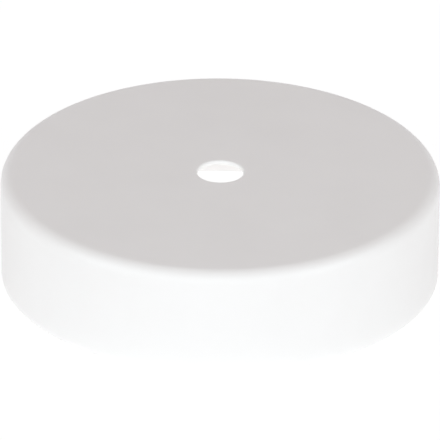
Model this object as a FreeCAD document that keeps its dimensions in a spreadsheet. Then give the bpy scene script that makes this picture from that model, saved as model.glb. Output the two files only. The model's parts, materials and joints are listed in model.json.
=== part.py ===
import FreeCAD, Part
import Sketcher

import math
import os
from enum import IntEnum

# Electrical ceiling rose: a shallow round cup drawn from one disc of sheet steel.
# It stands on its rim, mouth down, with the closed face up and the cord hole in its middle.
# The origin is the middle of the rim's plane, which is the plane of the ceiling in use.
# +Z is the cup's axis, from the open mouth to the closed face.

# Driving dimensions in millimetres: alias, value, meaning.
DIMENSIONS = [
    ("outer_diameter", 100.0, "across the outside of the wall"),
    ("overall_height", 25.0, "from the rim to the closed face"),
    ("sheet_thickness", 1.0, "of the steel, the same all over"),
    ("inner_bend_radius", 2.0, "inside the corner between face and wall, the draw punch's nose"),
    ("cord_hole_diameter", 10.5, "clearance for a threaded tube of 10 mm"),
    ("hole_roll_radius", 0.5, "rolled-over outer edge of the pierced hole"),
    ("cut_edge_radius", 0.15, "deburred and coated edges of the rim, and the inner edge of the hole"),
]

# The largest share of the sheet that one rounded edge may take.
HOLE_ROLL_SHARE = 0.6
CUT_EDGE_SHARE = 0.3

# The part of the hole's volume by which the cut may differ from a plain cylinder.
HOLE_VOLUME_TOLERANCE = 1e-3

# Two lengths closer than this are the same edge.
SAME_PLACE = 1e-4

FULL_TURN = 360


class Axis(IntEnum):
    """A sketch's own axes, as it numbers them. The horizontal one starts at the sketch's origin."""

    HORIZONTAL = -1
    VERTICAL = -2


class Point(IntEnum):
    """The points of a curve, as a sketch numbers them."""

    START = 1
    END = 2
    CENTRE = 3


def make_sheet(doc):
    """The spreadsheet of driving dimensions, with one named cell for each."""
    sheet = doc.addObject("Spreadsheet::Sheet", "dimensions")
    for row, (alias, value, meaning) in enumerate(DIMENSIONS, start=1):
        sheet.set(f"A{row}", meaning)
        sheet.set(f"B{row}", str(value))
        sheet.setAlias(f"B{row}", alias)
    doc.recompute()
    return sheet


def origin_plane(body, role):
    """One of the body's own origin planes, by its role."""
    return next(feature for feature in body.Origin.OriginFeatures if feature.Role == role)


def add_sketch(body, name, role):
    """An empty sketch on one of the body's origin planes."""
    sketch = body.newObject("Sketcher::SketchObject", name)
    sketch.AttachmentSupport = [(origin_plane(body, role), "")]
    sketch.MapMode = "FlatFace"
    return sketch


def drive(sketch, constraint, name, expression):
    """Adds a named dimension to a sketch and binds it to the spreadsheet."""
    sketch.renameConstraint(sketch.addConstraint(constraint), name)
    sketch.setExpression(f"Constraints.{name}", expression)


def circle_edges(shape, wanted):
    """Names of the full circles about the Z axis at the wanted (radius, height) places."""
    names = []
    for radius, height in wanted:
        found = [
            f"Edge{number}"
            for number, edge in enumerate(shape.Edges, start=1)
            if isinstance(edge.Curve, Part.Circle)
            and abs(edge.Curve.Radius - radius) < SAME_PLACE
            and abs(edge.Curve.Center.z - height) < SAME_PLACE
        ]
        if len(found) != 1:
            raise RuntimeError(f"{len(found)} circles of radius {radius} at height {height}")
        names += found
    return names


def draw_cup(body, sheet):
    """The drawn cup: the section of the bent sheet, turned about the axis.

    The section runs out along the face, round the corner on two concentric arcs and down the wall to the rim.
    """
    radius = sheet.outer_diameter / 2
    height = sheet.overall_height
    thickness = sheet.sheet_thickness
    bend_inside = sheet.inner_bend_radius
    bend_outside = bend_inside + thickness
    bend_x = radius - bend_outside
    bend_z = height - bend_outside
    inside_x = radius - thickness
    inside_z = height - thickness

    section = add_sketch(body, "sheet_section", "XZ_Plane")

    def line(start, end):
        return section.addGeometry(Part.LineSegment(FreeCAD.Vector(*start), FreeCAD.Vector(*end)))

    def quarter(arc_radius):
        circle = Part.Circle(FreeCAD.Vector(bend_x, bend_z), FreeCAD.Vector(0, 0, 1), arc_radius)
        return section.addGeometry(Part.ArcOfCircle(circle, 0, math.pi / 2))

    face_out = line((0, height), (bend_x, height))
    arc_out = quarter(bend_outside)
    wall_out = line((radius, bend_z), (radius, 0))
    rim = line((radius, 0), (inside_x, 0))
    wall_in = line((inside_x, 0), (inside_x, bend_z))
    arc_in = quarter(bend_inside)
    face_in = line((bend_x, inside_z), (0, inside_z))
    axis_side = line((0, inside_z), (0, height))

    section.addConstraint(
        [
            Sketcher.Constraint("Tangent", face_out, Point.END, arc_out, Point.END),
            Sketcher.Constraint("Tangent", arc_out, Point.START, wall_out, Point.START),
            Sketcher.Constraint("Coincident", wall_out, Point.END, rim, Point.START),
            Sketcher.Constraint("Coincident", rim, Point.END, wall_in, Point.START),
            Sketcher.Constraint("Tangent", wall_in, Point.END, arc_in, Point.START),
            Sketcher.Constraint("Tangent", arc_in, Point.END, face_in, Point.START),
            Sketcher.Constraint("Coincident", face_in, Point.END, axis_side, Point.START),
            Sketcher.Constraint("Coincident", axis_side, Point.END, face_out, Point.START),
            Sketcher.Constraint("Coincident", arc_out, Point.CENTRE, arc_in, Point.CENTRE),
            Sketcher.Constraint("Horizontal", face_out),
            Sketcher.Constraint("Horizontal", rim),
            Sketcher.Constraint("Vertical", wall_out),
            Sketcher.Constraint("Vertical", axis_side),
            Sketcher.Constraint("PointOnObject", face_out, Point.START, Axis.VERTICAL),
            Sketcher.Constraint("PointOnObject", rim, Point.START, Axis.HORIZONTAL),
        ]
    )
    drive(
        section,
        Sketcher.Constraint("DistanceX", Axis.HORIZONTAL, Point.START, rim, Point.START, radius),
        "wall_outside",
        "dimensions.outer_diameter / 2",
    )
    drive(
        section,
        Sketcher.Constraint("DistanceY", Axis.HORIZONTAL, Point.START, face_out, Point.START, height),
        "face_height",
        "dimensions.overall_height",
    )
    drive(
        section,
        Sketcher.Constraint("DistanceX", rim, Point.END, rim, Point.START, thickness),
        "wall_thickness",
        "dimensions.sheet_thickness",
    )
    drive(
        section,
        Sketcher.Constraint("Radius", arc_in, bend_inside),
        "bend_inside",
        "dimensions.inner_bend_radius",
    )

    cup = body.newObject("PartDesign::Revolution", "drawn_cup")
    cup.Profile = section
    cup.ReferenceAxis = (section, ["V_Axis"])
    cup.Angle = FULL_TURN
    section.Visibility = False
    return cup


def pierce_hole(body, sheet):
    """The cord hole, punched through the middle of the closed face."""
    diameter = sheet.cord_hole_diameter
    outline = add_sketch(body, "hole_outline", "XY_Plane")
    round_cut = Part.Circle(FreeCAD.Vector(0, 0, 0), FreeCAD.Vector(0, 0, 1), diameter / 2)
    circle = outline.addGeometry(round_cut)
    outline.addConstraint(
        Sketcher.Constraint("Coincident", circle, Point.CENTRE, Axis.HORIZONTAL, Point.START)
    )
    drive(
        outline,
        Sketcher.Constraint("Diameter", circle, diameter),
        "hole_diameter",
        "dimensions.cord_hole_diameter",
    )
    hole = body.newObject("PartDesign::Pocket", "cord_hole")
    hole.Profile = outline
    hole.Type = "ThroughAll"
    hole.Reversed = True
    outline.Visibility = False
    return hole


def round_edges(body, base, name, wanted, expression):
    """Rounds circular edges of the base feature, by a radius that the spreadsheet gives."""
    fillet = body.newObject("PartDesign::Fillet", name)
    fillet.Base = (base, circle_edges(base.Shape, wanted))
    fillet.setExpression("Radius", expression)
    return fillet


def build_canopy(doc, sheet):
    """The canopy: drawn, pierced, then its cut edges rounded as deburring and coating leave them."""
    body = doc.addObject("PartDesign::Body", "canopy")
    body.Label = "canopy"

    cup = draw_cup(body, sheet)
    doc.recompute()
    drawn_volume = cup.Shape.Volume

    hole = pierce_hole(body, sheet)
    doc.recompute()
    hole_radius = sheet.cord_hole_diameter / 2
    thickness = sheet.sheet_thickness
    hole_volume = math.pi * hole_radius**2 * thickness
    if abs(drawn_volume - hole.Shape.Volume - hole_volume) > HOLE_VOLUME_TOLERANCE * hole_volume:
        raise RuntimeError("the cord hole does not go through the face")

    wall_radius = sheet.outer_diameter / 2
    rolled = round_edges(
        body,
        hole,
        "rolled_hole_edge",
        [(hole_radius, sheet.overall_height)],
        f"min(dimensions.hole_roll_radius; {HOLE_ROLL_SHARE} * dimensions.sheet_thickness)",
    )
    doc.recompute()
    round_edges(
        body,
        rolled,
        "deburred_edges",
        [(hole_radius, sheet.overall_height - thickness), (wall_radius, 0), (wall_radius - thickness, 0)],
        f"min(dimensions.cut_edge_radius; {CUT_EDGE_SHARE} * dimensions.sheet_thickness)",
    )
    doc.recompute()
    return body


def check(doc, bodies):
    """Stops if any object of the document failed, or a piece is not one valid closed solid."""
    for obj in doc.Objects:
        if {"Invalid", "Error"} & set(obj.State):
            raise RuntimeError(f"{obj.Name} failed: {obj.State}")
    for body in bodies:
        shape = body.Shape
        if shape.isNull() or not shape.isValid() or len(shape.Solids) != 1:
            raise RuntimeError(f"{body.Label} is not one valid solid")


def main():
    doc = FreeCAD.newDocument("ceiling_rose")
    sheet = make_sheet(doc)
    bodies = [build_canopy(doc, sheet)]
    check(doc, bodies)
    os.makedirs("parts", exist_ok=True)
    for body in bodies:
        body.Shape.exportStep(f"parts/{body.Label}.step")
        print(f"{body.Label}: {body.Shape.Volume:.1f} mm3, {len(body.Shape.Faces)} faces")


main()
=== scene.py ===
"""A white electrical ceiling rose of drawn, powder-coated sheet steel, and the stage that shows it.

The cup is one closed section of bent sheet, turned about the Z axis. Every size of it is read from the
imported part, so the coated cup lies exactly where the solid does.
"""

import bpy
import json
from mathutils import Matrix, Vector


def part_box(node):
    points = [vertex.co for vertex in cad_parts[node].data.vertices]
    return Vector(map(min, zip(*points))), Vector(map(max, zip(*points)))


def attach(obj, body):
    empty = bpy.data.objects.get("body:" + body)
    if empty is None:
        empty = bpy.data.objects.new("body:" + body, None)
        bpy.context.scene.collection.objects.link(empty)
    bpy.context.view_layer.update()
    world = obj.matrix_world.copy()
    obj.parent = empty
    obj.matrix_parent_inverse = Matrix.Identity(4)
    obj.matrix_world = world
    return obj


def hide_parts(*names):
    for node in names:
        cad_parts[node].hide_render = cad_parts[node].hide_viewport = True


bl_info = {
    "name": "Ceiling Rose",
    "version": (1, 0, 0),
    "blender": (4, 5, 0),
    "location": "3D View > Sidebar > Ceiling Rose",
    "description": "Makes a powder-coated ceiling rose and the stage that shows it",
    "category": "Add Mesh",
}

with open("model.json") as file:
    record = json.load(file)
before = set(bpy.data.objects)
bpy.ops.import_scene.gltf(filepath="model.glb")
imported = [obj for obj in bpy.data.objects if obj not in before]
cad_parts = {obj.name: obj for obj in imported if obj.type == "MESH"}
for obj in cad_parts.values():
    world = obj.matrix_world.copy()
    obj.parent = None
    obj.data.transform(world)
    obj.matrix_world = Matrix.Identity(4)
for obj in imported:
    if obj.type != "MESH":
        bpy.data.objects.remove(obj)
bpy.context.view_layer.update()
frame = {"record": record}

import json
import math
from typing import NamedTuple

import bpy
import numpy as np
from bpy.props import FloatProperty, FloatVectorProperty, IntProperty, PointerProperty
from mathutils import Matrix, Vector

MM = 0.001


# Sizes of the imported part, in metres

CUP_LOW, CUP_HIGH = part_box("canopy")
MOUNTS = {mount["name"]: mount for mount in frame["record"]["mounts"]}
FACE_INSIDE = MOUNTS["nut_seat"]["pos_m"][2]
HOLE_RADIUS = MOUNTS["cord_hole"]["dims"]["r_mm"] * MM


def bore_end(name, side):
    """Height at which an upright bore's straight wall ends: the upper end for side 1, the lower for -1."""
    mount = MOUNTS[name]
    return mount["pos_m"][2] + side * mount["dims"]["length_mm"] * MM / 2


# The sRGB code: straight up to the knee, and a power above it.
SRGB_TOP = 255
SRGB_KNEE = 0.04045
SRGB_SLOPE = 12.92
SRGB_OFFSET = 0.055
SRGB_POWER = 2.4


def linear(hex_colour):
    """An sRGB hex colour such as #F0F0F0 as three scene-linear numbers."""
    coded = np.array([int(hex_colour[at : at + 2], 16) for at in (1, 3, 5)]) / SRGB_TOP
    low = coded / SRGB_SLOPE
    high = ((coded + SRGB_OFFSET) / (1 + SRGB_OFFSET)) ** SRGB_POWER
    return tuple(np.where(coded <= SRGB_KNEE, low, high).tolist())


# Settings that a user would change


class CanopySizes(bpy.types.PropertyGroup):
    """Sizes of the drawn cup."""

    outer_radius: FloatProperty(
        name="Outer radius",
        description="From the axis to the outside of the wall",
        default=CUP_HIGH.x,
        unit="LENGTH",
    )
    height: FloatProperty(
        name="Height",
        description="From the rim to the closed face",
        default=CUP_HIGH.z,
        unit="LENGTH",
    )
    sheet: FloatProperty(
        name="Sheet thickness",
        description="Thickness of the steel, the same all over",
        default=CUP_HIGH.z - FACE_INSIDE,
        unit="LENGTH",
    )
    inner_bend: FloatProperty(
        name="Inner bend radius",
        description="Inside the corner between the face and the wall",
        default=FACE_INSIDE - bore_end("mouth", 1),
        unit="LENGTH",
    )
    hole_radius: FloatProperty(
        name="Hole radius",
        description="Radius of the cord hole at its narrowest",
        default=HOLE_RADIUS,
        unit="LENGTH",
    )
    hole_roll: FloatProperty(
        name="Hole roll radius",
        description="Rounding of the hole's outer edge, where the punch drew the sheet in",
        default=CUP_HIGH.z - bore_end("cord_hole", 1),
        unit="LENGTH",
    )
    cut_edge: FloatProperty(
        name="Cut edge radius",
        description="Rounding of the deburred edges of the rim and of the hole's inner edge",
        default=bore_end("mouth", -1) - CUP_LOW.z,
        unit="LENGTH",
    )
    segments: IntProperty(
        name="Segments",
        description="Faces around the axis",
        default=320,
        min=16,
    )


class CoatFinish(bpy.types.PropertyGroup):
    """Colours of the powder coat, with a painted shade for the inner corner, and its texture."""

    white: FloatVectorProperty(
        name="White",
        description="Colour of the coat at its full thickness",
        subtype="COLOR",
        default=linear("#F0EFEE"),
    )
    shade: FloatVectorProperty(
        name="Cloud",
        description="Colour of the faint clouds where the coat is a little thinner",
        subtype="COLOR",
        default=linear("#ECEBEA"),
    )
    # Painted shade: the grey that the white turns to deep in the cup's inner corner.
    corner_shade: FloatVectorProperty(
        name="Thin coat",
        description="Colour where the powder hardly reached, deep in the cup's inner corner",
        subtype="COLOR",
        default=linear("#CFCDCA"),
    )
    roughness: FloatProperty(
        name="Roughness",
        description="Roughness of the satin surface",
        default=0.42,
        min=0.0,
        max=1.0,
        subtype="FACTOR",
    )
    roughness_spread: FloatProperty(
        name="Roughness spread",
        description="How far the roughness strays from its mean, cloud by cloud",
        default=0.03,
        min=0.0,
        max=0.1,
    )
    peel: FloatProperty(
        name="Orange peel",
        description="Width of one swelling of the orange peel",
        default=1.6 * MM,
        unit="LENGTH",
    )
    peel_depth: FloatProperty(
        name="Peel depth",
        description="Height of the orange peel",
        default=0.006 * MM,
        unit="LENGTH",
    )
    grain: FloatProperty(
        name="Grain",
        description="Width of one grain of the melted powder",
        default=0.35 * MM,
        unit="LENGTH",
    )
    grain_depth: FloatProperty(
        name="Grain depth",
        description="Height of the grain",
        default=0.0008 * MM,
        unit="LENGTH",
    )
    cloud: FloatProperty(
        name="Clouds",
        description="Width of one cloud of thicker or thinner coat",
        default=16 * MM,
        unit="LENGTH",
    )


class StageSettings(bpy.types.PropertyGroup):
    """Camera and light."""

    distance: FloatProperty(
        name="Camera distance",
        description="From the cup's middle to the camera",
        default=1.5,
        unit="LENGTH",
    )
    elevation: FloatProperty(
        name="Camera elevation",
        description="Angle at which the camera looks down",
        default=math.radians(27.49),
        subtype="ANGLE",
    )
    roll: FloatProperty(
        name="Camera roll",
        description="Turn of the camera about its own axis",
        default=math.radians(0.424),
        subtype="ANGLE",
    )
    lens: FloatProperty(
        name="Lens",
        description="Focal length of the camera, in millimetres on a 36 mm wide picture",
        default=537.6,
    )
    ambient: FloatProperty(
        name="Ambient",
        description="Radiance of the room around the stage",
        default=0.388,
        min=0.0,
    )
    ambient_colour: FloatVectorProperty(
        name="Ambient colour",
        description="Colour of the room's light",
        subtype="COLOR",
        default=linear("#FFEEEB"),
    )
    board: FloatVectorProperty(
        name="Board",
        description="Colour of the matt board that the cup stands on, as it throws light back",
        subtype="COLOR",
        default=linear("#F3F3F4"),
    )


class CeilingRoseSettings(bpy.types.PropertyGroup):
    """All the settings, as the panel shows them."""

    canopy: PointerProperty(type=CanopySizes)
    coat: PointerProperty(type=CoatFinish)
    stage: PointerProperty(type=StageSettings)


# Shape of the cup

# Steps along each kind of stretch of the section
ROLL_STEPS = 10
OUTER_BEND_STEPS = 24
INNER_BEND_STEPS = 18
EDGE_STEPS = 5
FACE_STEPS = 16
WALL_STEPS = 12
LAND_STEPS = 3

# Third column of the section: 1 for the plain white, 0 for the full painted shade in the cup's inner
# corner.
UNSHADED = 1.0
PAINTED_SHADE = 0.0


def arc(centre, radius, start, end, steps, coat):
    """Points of a circle in the section's plane, at even angles in degrees, all with the same painted
    shade.

    A point is the centre plus the radius times (cos, sin) of its angle.
    """
    angle = np.radians(np.linspace(start, end, steps + 1))
    across, up = centre
    return np.stack(
        [across + radius * np.cos(angle), up + radius * np.sin(angle), np.full(steps + 1, coat)],
        axis=1,
    )


def straight(start, end, steps):
    """Points between two ends of a line, both left out, that lie closer together near the ends.

    The share of the way is half of one minus the cosine of an even angle from 0 to 180 degrees.
    """
    share = (1 - np.cos(np.pi * np.arange(1, steps) / steps)) / 2
    return start + share[:, None] * (end - start)


def sheet_section(sizes):
    """The closed section of the bent sheet: rows of radius, height and share of the unshaded white.

    It starts at the hole's rolled edge and runs out along the face, round the bend, down the wall, under
    the rim, up inside and back to the hole. Arcs are joined by straight stretches that touch them. The
    share is a painted shade: it falls evenly to 0 towards the inner corner, where the material greys
    the white.
    """
    radius = sizes.outer_radius
    top = sizes.height
    hole = sizes.hole_radius
    roll = sizes.hole_roll
    edge = sizes.cut_edge
    inside = radius - sizes.sheet
    underside = top - sizes.sheet
    inside_bend = sizes.inner_bend
    outside_bend = inside_bend + sizes.sheet
    bend = (radius - outside_bend, top - outside_bend)
    stretches = [
        (arc((hole + roll, top - roll), roll, 180, 90, ROLL_STEPS, UNSHADED), FACE_STEPS),
        (arc(bend, outside_bend, 90, 0, OUTER_BEND_STEPS, UNSHADED), WALL_STEPS),
        (arc((radius - edge, edge), edge, 0, -90, EDGE_STEPS, UNSHADED), LAND_STEPS),
        (arc((inside + edge, edge), edge, 270, 180, EDGE_STEPS, UNSHADED), WALL_STEPS),
        (arc(bend, inside_bend, 0, 90, INNER_BEND_STEPS, PAINTED_SHADE), FACE_STEPS),
        (arc((hole + edge, underside + edge), edge, 270, 180, EDGE_STEPS, UNSHADED), LAND_STEPS),
    ]
    rings = []
    for number, (corner, steps) in enumerate(stretches):
        following = stretches[(number + 1) % len(stretches)][0]
        rings += [corner, straight(corner[-1], following[0], steps)]
    return np.concatenate(rings)


def turned_mesh(name, section, segments):
    """A closed section turned about the Z axis into a closed mesh of quads.

    Vertex (i, j) is (r cos a, r sin a, z) for point i of the section and the angle a, which is 360 degrees
    times j / segments.
    """
    angle = np.linspace(0, 2 * np.pi, segments, endpoint=False)
    radius = section[:, 0, None]
    height = np.broadcast_to(section[:, 1, None], (len(section), segments))
    points = np.stack([radius * np.cos(angle), radius * np.sin(angle), height], axis=-1)

    ring = np.arange(len(section))[:, None]
    turn = np.arange(segments)[None, :]
    next_ring = (ring + 1) % len(section)
    next_turn = (turn + 1) % segments
    corners = [(ring, turn), (next_ring, turn), (next_ring, next_turn), (ring, next_turn)]
    quads = np.stack([i * segments + j for i, j in corners], axis=-1)

    mesh = bpy.data.meshes.new(name)
    mesh.from_pydata(points.reshape(-1, 3), [], quads.reshape(-1, 4))
    mesh.shade_smooth()
    # The section's third column, the share of white against the painted corner shade, is kept as a point
    # attribute named coat.
    coat = mesh.attributes.new("coat", "FLOAT", "POINT")
    coat.data.foreach_set("value", np.repeat(section[:, 2], segments))
    return mesh


# Finish of the cup

POLYESTER_IOR = 1.5

# Detail of the noise: clouds have finer clouds in them, and the peel and the grain are plain swellings.
CLOUD_DETAIL = 3.0
SWELL_DETAIL = 1.0

# A noise texture seldom leaves this range.
NOISE_LOW = 0.3
NOISE_HIGH = 0.7

# Share of the coat attribute below which the painted corner shade shows; above it the white is plain.
SHADE_FADES_OUT = 0.4

# Numbers of the colour sockets of a mix node, which has several with the same name.
MIX_FIRST = 6
MIX_SECOND = 7
MIX_RESULT = 2


def add_node(tree, kind, inputs=None, **settings):
    """Adds a node, sets its properties, and gives its sockets values or links."""
    node = tree.nodes.new(kind)
    for name, value in settings.items():
        setattr(node, name, value)
    for socket, value in (inputs or {}).items():
        if isinstance(value, bpy.types.NodeSocket):
            tree.links.new(value, node.inputs[socket])
        else:
            node.inputs[socket].default_value = value
    return node


def empty_tree(data):
    """The cleared node tree of a material or world."""
    data.use_nodes = True
    data.node_tree.nodes.clear()
    return data.node_tree


def mixed_colour(tree, share, first, second):
    """The colour that goes from the first to the second as the share goes from 0 to 1."""
    inputs = {"Factor": share, MIX_FIRST: first, MIX_SECOND: second}
    return add_node(tree, "ShaderNodeMix", inputs, data_type="RGBA").outputs[MIX_RESULT]


def swellings(tree, place, width, detail):
    """A noise texture whose swellings have a real width."""
    inputs = {"Vector": place, "Scale": 1 / width, "Detail": detail}
    return add_node(tree, "ShaderNodeTexNoise", inputs).outputs["Fac"]


def white_powder_coat(coat):
    """Polyester powder, sprayed dry on the drawn steel and melted to a skin a tenth of a millimetre thick.

    It gives the eye an even satin white, and soft highlights that the orange peel breaks up a little. A
    painted shade greys the white deep in the cup's inner corner.
    """
    material = bpy.data.materials.new("white_polyester_powder")
    tree = empty_tree(material)
    place = add_node(tree, "ShaderNodeTexCoord").outputs["Object"]
    unshaded_share = add_node(tree, "ShaderNodeAttribute", attribute_name="coat").outputs["Fac"]
    unshaded = add_node(
        tree,
        "ShaderNodeMapRange",
        {"Value": unshaded_share, "From Min": PAINTED_SHADE, "From Max": SHADE_FADES_OUT},
        interpolation_type="SMOOTHSTEP",
    ).outputs["Result"]

    clouds = swellings(tree, place, coat.cloud, CLOUD_DETAIL)
    clouded = mixed_colour(tree, clouds, (*coat.white, 1), (*coat.shade, 1))
    # Painted shade: the white turns grey towards the cup's inner corner.
    colour = mixed_colour(tree, unshaded, (*coat.corner_shade, 1), clouded)
    roughness = add_node(
        tree,
        "ShaderNodeMapRange",
        {
            "Value": clouds,
            "From Min": NOISE_LOW,
            "From Max": NOISE_HIGH,
            "To Min": coat.roughness - coat.roughness_spread,
            "To Max": coat.roughness + coat.roughness_spread,
        },
    ).outputs["Result"]

    grained = add_node(
        tree,
        "ShaderNodeBump",
        {"Height": swellings(tree, place, coat.grain, SWELL_DETAIL), "Distance": coat.grain_depth},
    ).outputs["Normal"]
    peeled = add_node(
        tree,
        "ShaderNodeBump",
        {
            "Height": swellings(tree, place, coat.peel, SWELL_DETAIL),
            "Distance": coat.peel_depth,
            "Normal": grained,
        },
    ).outputs["Normal"]

    shader = add_node(
        tree,
        "ShaderNodeBsdfPrincipled",
        {"Base Color": colour, "Roughness": roughness, "Normal": peeled, "IOR": POLYESTER_IOR},
    )
    add_node(tree, "ShaderNodeOutputMaterial", {"Surface": shader.outputs["BSDF"]})
    return material


class ROSE_OT_canopy(bpy.types.Operator):
    """Make the powder-coated cup in place of the plain solid"""

    bl_idname = "rose.canopy"
    bl_label = "Coated canopy"
    bl_options = {"REGISTER", "UNDO"}

    def execute(self, context):
        settings = context.scene.ceiling_rose
        mesh = turned_mesh("canopy_coated", sheet_section(settings.canopy), settings.canopy.segments)
        mesh.materials.append(white_powder_coat(settings.coat))
        canopy = bpy.data.objects.new("canopy_coated", mesh)
        context.scene.collection.objects.link(canopy)
        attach(canopy, "root")
        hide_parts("canopy")
        return {"FINISHED"}


# Stage

PICTURE_WHITE = 1.0
FLOOR_HALF = 4.0
FLOOR_DROP = 0.02 * MM

# What the camera sees of the floor: a glow, and a share of the light on it, which draws the shadow.
FLOOR_GLOW = 0.945
FLOOR_SHADE = 0.10

# As a lamp the board glows faintly, and a little more at places closer to the cup than RIM_REACH.
BOARD_GLOW = 0.2
RIM_REACH = 2.5 * MM
RIM_GLOW = 0.13


class Softbox(NamedTuple):
    """An oval lamp that faces the cup's middle, with angles in degrees and sizes in metres."""

    name: str
    azimuth: float
    elevation: float
    distance: float
    width: float
    height: float
    radiance: float
    colour: str


# The last one hangs inside, just under the cup's face, and lights what the cord hole shows.
SOFTBOXES = (
    Softbox("left", -60, 22, 1.2, 0.9, 1.0, 2.39, "#F0FBFE"),
    Softbox("right", 60, 22, 1.2, 0.9, 1.0, 2.37, "#F0FBFE"),
    Softbox("front", 0, 22, 1.2, 1.6, 0.9, 1.39, "#F0FBFE"),
    Softbox("back", 180, 10, 1.5, 2.0, 0.56, 0.56, "#E0F2FF"),
    Softbox("inside", 0, 90, 0.0113, 0.084, 0.084, 0.9, "#FFFFFF"),
)


def direction(azimuth, elevation):
    """Unit vector towards an azimuth, counted from -Y to +X, and an elevation, both in radians."""
    flat = math.cos(elevation)
    return Vector((math.sin(azimuth) * flat, -math.cos(azimuth) * flat, math.sin(elevation)))


def aimed(place, target):
    """World matrix of a lamp or camera at place that looks at target, with its top up."""
    turn = (target - place).to_track_quat("-Z", "Y")
    return Matrix.Translation(place) @ turn.to_matrix().to_4x4()


def shown(tree):
    """1 for a ray that shows the picture, straight, mirrored or through glass, and 0 for any other."""
    path = add_node(tree, "ShaderNodeLightPath").outputs
    share = path["Is Camera Ray"]
    for kind in ("Is Glossy Ray", "Is Transmission Ray"):
        either = add_node(tree, "ShaderNodeMath", {0: share, 1: path[kind]}, operation="MAXIMUM")
        share = either.outputs["Value"]
    return share


def white_board(stage):
    """Matt white board, clear from below.

    It looks white with a faint shadow. To the cup it is a board that throws light back and glows faintly.
    """
    material = bpy.data.materials.new("white_board")
    tree = empty_tree(material)
    matt = add_node(tree, "ShaderNodeBsdfDiffuse", {"Color": (*stage.board, 1)})
    near = add_node(
        tree,
        "ShaderNodeMath",
        {0: add_node(tree, "ShaderNodeLightPath").outputs["Ray Length"], 1: RIM_REACH},
        operation="LESS_THAN",
    )
    level = add_node(
        tree,
        "ShaderNodeMath",
        {0: near.outputs[0], 1: RIM_GLOW, 2: BOARD_GLOW},
        operation="MULTIPLY_ADD",
    )
    lamp = add_node(tree, "ShaderNodeEmission", {"Strength": level.outputs[0]})
    board = add_node(tree, "ShaderNodeAddShader", {0: matt.outputs[0], 1: lamp.outputs[0]})
    glow = add_node(tree, "ShaderNodeEmission", {"Strength": FLOOR_GLOW})
    shadow = add_node(tree, "ShaderNodeBsdfDiffuse", {"Color": (FLOOR_SHADE, FLOOR_SHADE, FLOOR_SHADE, 1)})
    picture = add_node(tree, "ShaderNodeAddShader", {0: glow.outputs[0], 1: shadow.outputs[0]})
    above = add_node(
        tree,
        "ShaderNodeMixShader",
        {"Fac": shown(tree), 1: board.outputs[0], 2: picture.outputs[0]},
    )
    surface = add_node(
        tree,
        "ShaderNodeMixShader",
        {
            "Fac": add_node(tree, "ShaderNodeNewGeometry").outputs["Backfacing"],
            1: above.outputs[0],
            2: add_node(tree, "ShaderNodeBsdfTransparent").outputs[0],
        },
    )
    add_node(tree, "ShaderNodeOutputMaterial", {"Surface": surface.outputs[0]})
    return material


def lay_floor(scene, stage):
    """A square board just under the rim: one quad, with corners at plus or minus its half width."""
    corners = np.array([(-1, -1, 0), (1, -1, 0), (1, 1, 0), (-1, 1, 0)]) * FLOOR_HALF
    corners[:, 2] = CUP_LOW.z - FLOOR_DROP
    mesh = bpy.data.meshes.new("floor")
    mesh.from_pydata(corners, [], [(0, 1, 2, 3)])
    mesh.materials.append(white_board(stage))
    floor = bpy.data.objects.new("floor", mesh)
    scene.collection.objects.link(floor)


def light_room(scene, stage):
    """An even room: white to the camera, and at the ambient level as light."""
    world = bpy.data.worlds.new("room")
    tree = empty_tree(world)
    light = add_node(
        tree,
        "ShaderNodeBackground",
        {"Color": (*stage.ambient_colour, 1), "Strength": stage.ambient},
    )
    white = add_node(tree, "ShaderNodeBackground", {"Color": (1, 1, 1, 1), "Strength": PICTURE_WHITE})
    mixed = add_node(
        tree,
        "ShaderNodeMixShader",
        {"Fac": shown(tree), 1: light.outputs[0], 2: white.outputs[0]},
    )
    add_node(tree, "ShaderNodeOutputWorld", {"Surface": mixed.outputs[0]})
    scene.world = world


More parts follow.
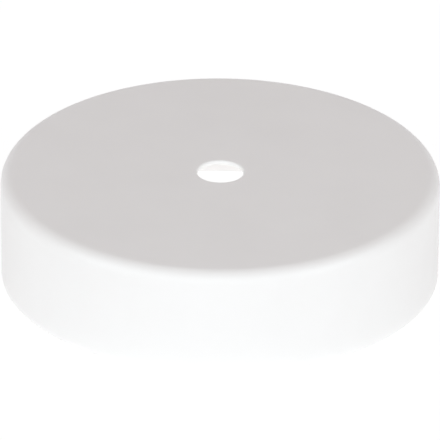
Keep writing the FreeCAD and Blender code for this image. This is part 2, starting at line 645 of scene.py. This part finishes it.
def hang_softboxes(scene, middle):
    """The lamps. Their power is radiance times pi times area, and an oval's area is pi / 4 of its box."""
    for box in SOFTBOXES:
        lamp = bpy.data.lights.new(f"{box.name}_softbox", "AREA")
        lamp.shape = "ELLIPSE"
        lamp.size = box.width
        lamp.size_y = box.height
        lamp.color = linear(box.colour)
        lamp.energy = box.radiance * math.pi * (math.pi / 4) * box.width * box.height
        softbox = bpy.data.objects.new(lamp.name, lamp)
        place = middle + box.distance * direction(math.radians(box.azimuth), math.radians(box.elevation))
        softbox.matrix_world = aimed(place, middle)
        softbox.visible_camera = False
        scene.collection.objects.link(softbox)


def stand_camera(scene, stage, middle):
    """The camera in front of the cup, looking down on it, turned about its own axis by the roll."""
    data = bpy.data.cameras.new("camera")
    data.lens = stage.lens
    camera = bpy.data.objects.new("camera", data)
    place = middle + stage.distance * direction(0, stage.elevation)
    camera.matrix_world = aimed(place, middle) @ Matrix.Rotation(stage.roll, 4, "Z")
    scene.collection.objects.link(camera)
    scene.camera = camera


class ROSE_OT_stage(bpy.types.Operator):
    """Lay the floor, light the room and stand the camera in front of the cup"""

    bl_idname = "rose.stage"
    bl_label = "Stage"
    bl_options = {"REGISTER", "UNDO"}

    def execute(self, context):
        scene = context.scene
        stage = scene.ceiling_rose.stage
        middle = (CUP_LOW + CUP_HIGH) / 2
        lay_floor(scene, stage)
        light_room(scene, stage)
        hang_softboxes(scene, middle)
        stand_camera(scene, stage, middle)
        scene.view_settings.view_transform = "Standard"
        return {"FINISHED"}


class ROSE_PT_panel(bpy.types.Panel):
    """Settings and steps of the ceiling rose"""

    bl_idname = "ROSE_PT_panel"
    bl_label = "Ceiling Rose"
    bl_space_type = "VIEW_3D"
    bl_region_type = "UI"
    bl_category = "Ceiling Rose"

    def draw(self, context):
        settings = context.scene.ceiling_rose
        for group, step in (("canopy", "rose.canopy"), ("coat", None), ("stage", "rose.stage")):
            box = self.layout.box()
            values = getattr(settings, group)
            for name in values.__annotations__:
                box.prop(values, name)
            if step:
                box.operator(step)


CLASSES = (
    CanopySizes,
    CoatFinish,
    StageSettings,
    CeilingRoseSettings,
    ROSE_OT_canopy,
    ROSE_OT_stage,
    ROSE_PT_panel,
)


def register():
    for cls in CLASSES:
        bpy.utils.register_class(cls)
    bpy.types.Scene.ceiling_rose = PointerProperty(type=CeilingRoseSettings)


def unregister():
    del bpy.types.Scene.ceiling_rose
    for cls in reversed(CLASSES):
        bpy.utils.unregister_class(cls)


def main():
    register()
    bpy.ops.rose.canopy()
    bpy.ops.rose.stage()


if __name__ == "__main__":
    main()
